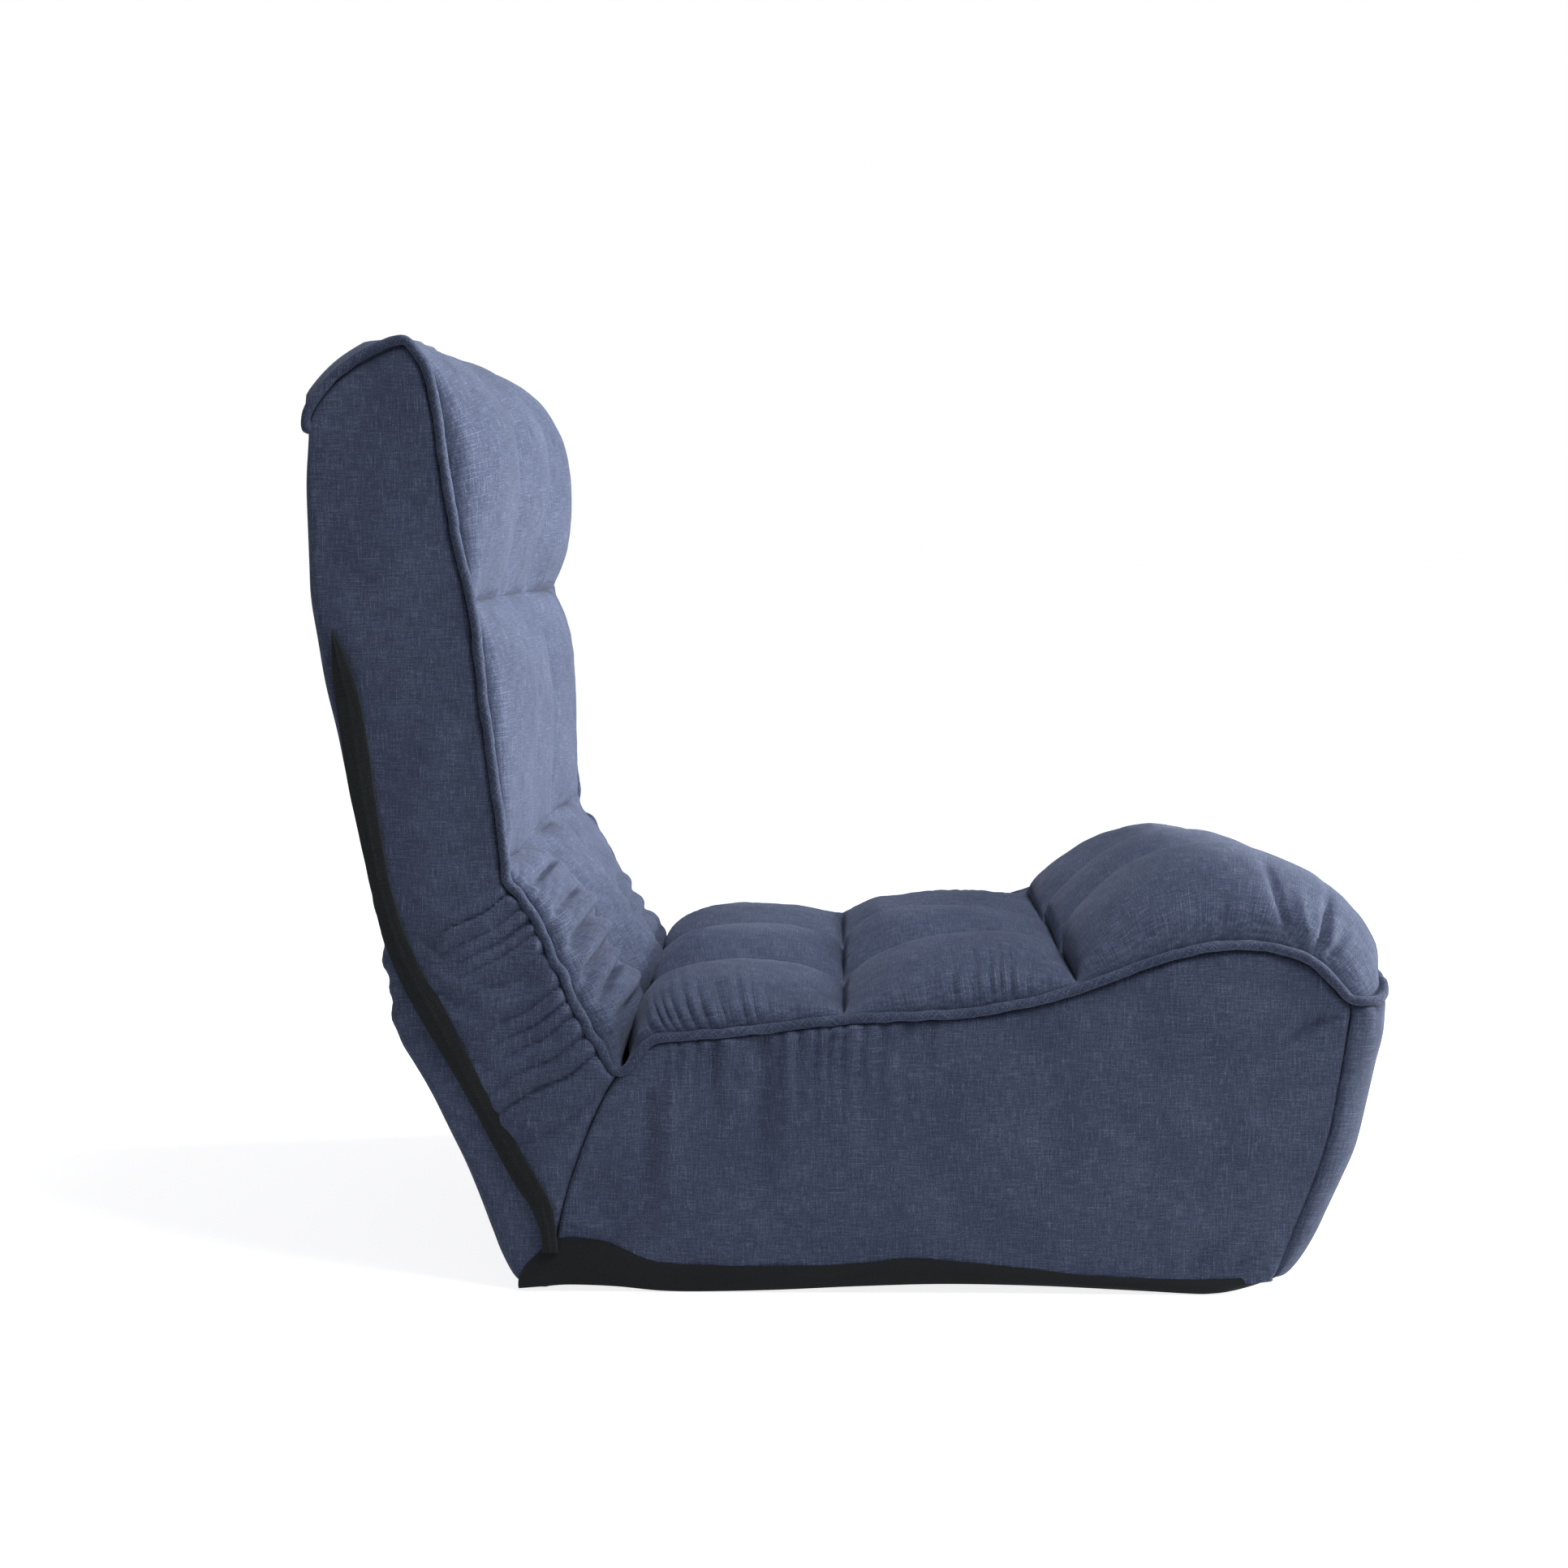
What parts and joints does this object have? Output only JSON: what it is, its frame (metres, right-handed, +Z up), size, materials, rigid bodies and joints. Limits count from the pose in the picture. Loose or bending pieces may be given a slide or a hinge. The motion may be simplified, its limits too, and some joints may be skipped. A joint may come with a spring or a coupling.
{
  "type": "floor chair",
  "caption": "Legless reclining floor chair with a tufted seat, a back and a headrest that fold on ratchet hinges.",
  "frame": {"origin": "centre of the bounding box in plan, on the floor", "axes": "+X towards the front of the seat, +Y to the sitter's left, +Z up"},
  "size_m": [0.7992, 0.54, 0.7031],
  "materials": {
    "seat_frame": "satin grey paint",
    "seat_sling": "plain woven",
    "seat_foam": "soft foam",
    "seat_quilt": "matt linen-look weave",
    "knee_roll": "matt linen-look weave",
    "seat_side_left": "matt linen-look weave",
    "seat_side_right": "matt linen-look weave",
    "seat_front_panel": "matt linen-look weave",
    "base_cloth": "matt black",
    "seat_piping_left": "matt linen-look weave",
    "seat_piping_right": "matt linen-look weave",
    "front_piping": "matt linen-look weave",
    "recline_bracket_left": "zinc plated",
    "recline_bracket_right": "zinc plated",
    "recline_pawl_left": "zinc plated",
    "recline_pawl_right": "zinc plated",
    "recline_spring_left": "zinc plated",
    "recline_spring_right": "zinc plated",
    "back_frame": "satin grey paint",
    "back_sling": "plain woven",
    "back_foam": "soft foam",
    "back_rear_pad": "soft foam",
    "mid_quilt": "matt linen-look weave",
    "lumbar_quilt": "matt linen-look weave",
    "back_side_left": "matt linen-look weave",
    "back_side_right": "matt linen-look weave",
    "back_rear_panel": "matt linen-look weave",
    "rear_skirt": "matt linen-look weave",
    "back_piping_left": "matt linen-look weave",
    "back_piping_right": "matt linen-look weave",
    "zip_tape_left": "matt black",
    "zip_tape_right": "matt black",
    "crease_gusset_left": "matt linen-look weave",
    "crease_gusset_right": "matt linen-look weave",
    "recline_arm_left": "zinc plated",
    "recline_arm_right": "zinc plated",
    "recline_rivet_left": "zinc plated",
    "recline_rivet_right": "zinc plated",
    "head_bracket_left": "zinc plated",
    "head_bracket_right": "zinc plated",
    "head_pawl_left": "zinc plated",
    "head_pawl_right": "zinc plated",
    "head_spring_left": "zinc plated",
    "head_spring_right": "zinc plated",
    "head_frame": "satin grey paint",
    "head_foam": "soft foam",
    "head_quilt": "matt linen-look weave",
    "head_side_left": "matt linen-look weave",
    "head_side_right": "matt linen-look weave",
    "head_rear_panel": "matt linen-look weave",
    "head_piping_left": "matt linen-look weave",
    "head_piping_right": "matt linen-look weave",
    "head_arm_left": "zinc plated",
    "head_arm_right": "zinc plated",
    "head_rivet_left": "zinc plated",
    "head_rivet_right": "zinc plated"
  },
  "bodies": {
    "seat": {"seat_frame": "seat_frame", "seat_sling": "seat_sling", "seat_foam": "seat_foam", "seat_quilt": "seat_quilt", "knee_roll": "knee_roll", "seat_side_left": "seat_side_left", "seat_side_right": "seat_side_right", "seat_front_panel": "seat_front_panel", "base_cloth": "base_cloth", "seat_piping_left": "seat_piping_left", "seat_piping_right": "seat_piping_right", "front_piping": "front_piping", "recline_bracket_left": "recline_bracket_left", "recline_bracket_right": "recline_bracket_right", "recline_pawl_left": "recline_pawl_left", "recline_pawl_right": "recline_pawl_right", "recline_spring_left": "recline_spring_left", "recline_spring_right": "recline_spring_right"},
    "backrest": {"back_frame": "back_frame", "back_sling": "back_sling", "back_foam": "back_foam", "back_rear_pad": "back_rear_pad", "mid_quilt": "mid_quilt", "lumbar_quilt": "lumbar_quilt", "back_side_left": "back_side_left", "back_side_right": "back_side_right", "back_rear_panel": "back_rear_panel", "rear_skirt": "rear_skirt", "back_piping_left": "back_piping_left", "back_piping_right": "back_piping_right", "zip_tape_left": "zip_tape_left", "zip_tape_right": "zip_tape_right", "crease_gusset_left": "crease_gusset_left", "crease_gusset_right": "crease_gusset_right", "recline_arm_left": "recline_arm_left", "recline_arm_right": "recline_arm_right", "recline_rivet_left": "recline_rivet_left", "recline_rivet_right": "recline_rivet_right", "head_bracket_left": "head_bracket_left", "head_bracket_right": "head_bracket_right", "head_pawl_left": "head_pawl_left", "head_pawl_right": "head_pawl_right", "head_spring_left": "head_spring_left", "head_spring_right": "head_spring_right"},
    "headrest": {"head_frame": "head_frame", "head_foam": "head_foam", "head_quilt": "head_quilt", "head_side_left": "head_side_left", "head_side_right": "head_side_right", "head_rear_panel": "head_rear_panel", "head_piping_left": "head_piping_left", "head_piping_right": "head_piping_right", "head_arm_left": "head_arm_left", "head_arm_right": "head_arm_right", "head_rivet_left": "head_rivet_left", "head_rivet_right": "head_rivet_right"}
  },
  "joints": [
    {"name": "back_recline", "type": "hinge", "parent": "seat", "child": "backrest", "pos_m": [-0.242, 0, 0.08], "axis": [0, 1, 0], "range_deg": [-75, 30], "deforming": ["lumbar_quilt", "crease_gusset_left", "crease_gusset_right", "rear_skirt", "zip_tape_left", "zip_tape_right", "back_piping_left", "back_piping_right"]},
    {"name": "head_tilt", "type": "hinge", "parent": "backrest", "child": "headrest", "pos_m": [-0.34692, 0, 0.5104], "axis": [0, 1, 0], "range_deg": [0, 45], "deforming": ["head_quilt", "head_piping_left", "head_piping_right"]}
  ]
}
